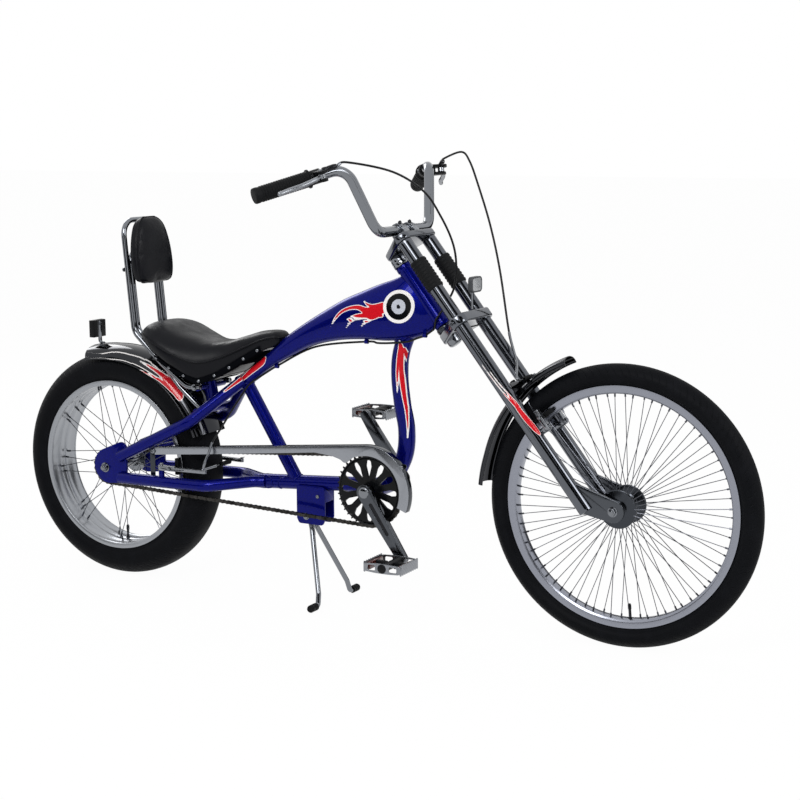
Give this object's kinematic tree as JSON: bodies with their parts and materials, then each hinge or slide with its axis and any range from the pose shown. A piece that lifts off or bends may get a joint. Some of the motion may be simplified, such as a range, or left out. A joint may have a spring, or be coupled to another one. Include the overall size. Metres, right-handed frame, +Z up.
{
  "type": "chopper bicycle",
  "caption": "Chopper style bicycle with a swept tank tube, long raked double crown fork, wide rear tyre, high back rest, stepped saddle and a two legged centre stand.",
  "frame": {"origin": "contact face of the rear tyre on the ground, under the rear axle", "axes": "+X forward, +Y to the rider's left, +Z up"},
  "size_m": [1.8925, 0.7266, 1.0374],
  "materials": {
    "blue_paint": "glossy",
    "chrome": "polished",
    "dark_chrome": "polished",
    "alloy": "satin",
    "black_steel": "satin",
    "chain_steel": "oiled",
    "tyre": "matte",
    "rubber": "matte",
    "black_plastic": "glossy",
    "leather": "satin",
    "clear_lens": "glossy",
    "cable_black": "satin"
  },
  "bodies": {
    "frame": {"tank_tube": "blue_paint", "head_tube": "blue_paint", "down_tube": "blue_paint", "bottom_tube": "blue_paint", "strut": "blue_paint", "lower_stay_right": "blue_paint", "lower_stay_left": "blue_paint", "upper_stay_right": "blue_paint", "upper_stay_left": "blue_paint", "bb_shell": "blue_paint", "seat_tube": "blue_paint", "stand_bracket": "blue_paint", "sissy_outer": "chrome", "sissy_inner": "chrome", "chain_guard": "chrome", "rear_axle": "chrome", "headset_lower": "chrome", "headset_upper": "chrome", "rear_fender": "dark_chrome", "saddle_pan": "black_steel", "chain": "chain_steel", "rear_reflector": "black_plastic", "saddle": "leather", "sissy_pad": "leather", "rear_cable": "cable_black"},
    "fork": {"fork_leg_right": "chrome", "fork_leg_left": "chrome", "fork_sleeve_right": "rubber", "fork_sleeve_left": "rubber", "lower_crown": "chrome", "top_crown": "chrome", "front_axle": "chrome", "front_reflector": "clear_lens", "front_fender": "dark_chrome", "handlebar": "chrome", "bar_clamp": "alloy", "grip_right": "rubber", "grip_left": "rubber", "perch_right": "black_plastic", "perch_left": "black_plastic", "front_cable": "cable_black", "rear_cable_loop": "cable_black"},
    "front_wheel": {"front_tyre": "tyre", "front_rim": "alloy", "front_hub": "chrome"},
    "rear_wheel": {"rear_tyre": "tyre", "rear_rim": "alloy", "rear_hub": "chrome"},
    "crank": {"crankset": "alloy", "chainring": "black_steel"},
    "freewheel": {"rear_sprocket": "black_steel"},
    "pedal_r": {"pedal_right": "alloy"},
    "pedal_l": {"pedal_left": "alloy"},
    "stand": {"stand_legs": "chrome"},
    "lever_r": {"lever_right": "alloy"},
    "lever_l": {"lever_left": "alloy"},
    "front_arm_r": {"front_brake_right": "alloy"},
    "front_arm_l": {"front_brake_left": "alloy"},
    "rear_arm_r": {"rear_brake_right": "alloy"},
    "rear_arm_l": {"rear_brake_left": "alloy"}
  },
  "joints": [
    {"name": "steering", "type": "hinge", "parent": "frame", "child": "fork", "pos_m": [0.88946, 0, 0.6626], "axis": [-0.617, 0, 0.7869], "range_deg": [-40, 40], "deforming": ["rear_cable_loop"]},
    {"name": "front_wheel_spin", "type": "hinge", "parent": "fork", "child": "front_wheel", "pos_m": [1.312, 0, 0.3035], "axis": [0, 1, 0], "continuous": true},
    {"name": "rear_wheel_spin", "type": "hinge", "parent": "frame", "child": "rear_wheel", "pos_m": [0, 0, 0.277], "axis": [0, 1, 0], "continuous": true},
    {"name": "crank_spin", "type": "hinge", "parent": "frame", "child": "crank", "pos_m": [0.735, 0, 0.291], "axis": [0, 1, 0], "continuous": true, "deforming": ["chain"]},
    {"name": "freewheel_spin", "type": "hinge", "parent": "frame", "child": "freewheel", "pos_m": [0, 0, 0.277], "axis": [0, 1, 0], "continuous": true},
    {"name": "pedal_right_spin", "type": "hinge", "parent": "crank", "child": "pedal_r", "pos_m": [0.83006, -0.139, 0.15006], "axis": [0, 1, 0], "continuous": true},
    {"name": "pedal_left_spin", "type": "hinge", "parent": "crank", "child": "pedal_l", "pos_m": [0.63994, 0.139, 0.43194], "axis": [0, 1, 0], "continuous": true},
    {"name": "stand_fold", "type": "hinge", "parent": "frame", "child": "stand", "pos_m": [0.54, 0, 0.202], "axis": [0, 1, 0], "range_deg": [0, 88]},
    {"name": "lever_right_pull", "type": "hinge", "parent": "fork", "child": "lever_r", "pos_m": [0.7442, -0.26393, 0.99293], "axis": [0.1927, 0.1867, -0.9633], "range_deg": [0, 15], "stiffness_Nm_per_rad": 0.4, "springref_deg": -2.86},
    {"name": "lever_left_pull", "type": "hinge", "parent": "fork", "child": "lever_l", "pos_m": [0.7442, 0.26393, 0.99293], "axis": [-0.1927, 0.1867, 0.9633], "range_deg": [0, 15], "stiffness_Nm_per_rad": 0.4, "springref_deg": -2.86},
    {"name": "front_arm_right_squeeze", "type": "hinge", "parent": "fork", "child": "front_arm_r", "pos_m": [1.15301, -0.043, 0.46261], "axis": [-0.7869, 0, -0.617], "range_deg": [0, 4], "stiffness_Nm_per_rad": 0.1},
    {"name": "front_arm_left_squeeze", "type": "hinge", "parent": "fork", "child": "front_arm_l", "pos_m": [1.15301, 0.043, 0.46261], "axis": [0.7869, 0, 0.617], "range_deg": [0, 4], "stiffness_Nm_per_rad": 0.1},
    {"name": "rear_arm_right_squeeze", "type": "hinge", "parent": "frame", "child": "rear_arm_r", "pos_m": [0.172, -0.082, 0.288], "axis": [0, 0, 1], "range_deg": [0, 4], "stiffness_Nm_per_rad": 0.1},
    {"name": "rear_arm_left_squeeze", "type": "hinge", "parent": "frame", "child": "rear_arm_l", "pos_m": [0.172, 0.082, 0.288], "axis": [0, 0, -1], "range_deg": [0, 4], "stiffness_Nm_per_rad": 0.1}
  ],
  "couplings": [
    {"joint": "freewheel_spin", "follows": "crank_spin", "ratio": 2},
    {"joint": "front_arm_right_squeeze", "follows": "lever_left_pull", "ratio": 0.25},
    {"joint": "front_arm_left_squeeze", "follows": "lever_left_pull", "ratio": 0.25},
    {"joint": "rear_arm_right_squeeze", "follows": "lever_right_pull", "ratio": 0.25},
    {"joint": "rear_arm_left_squeeze", "follows": "lever_right_pull", "ratio": 0.25}
  ]
}
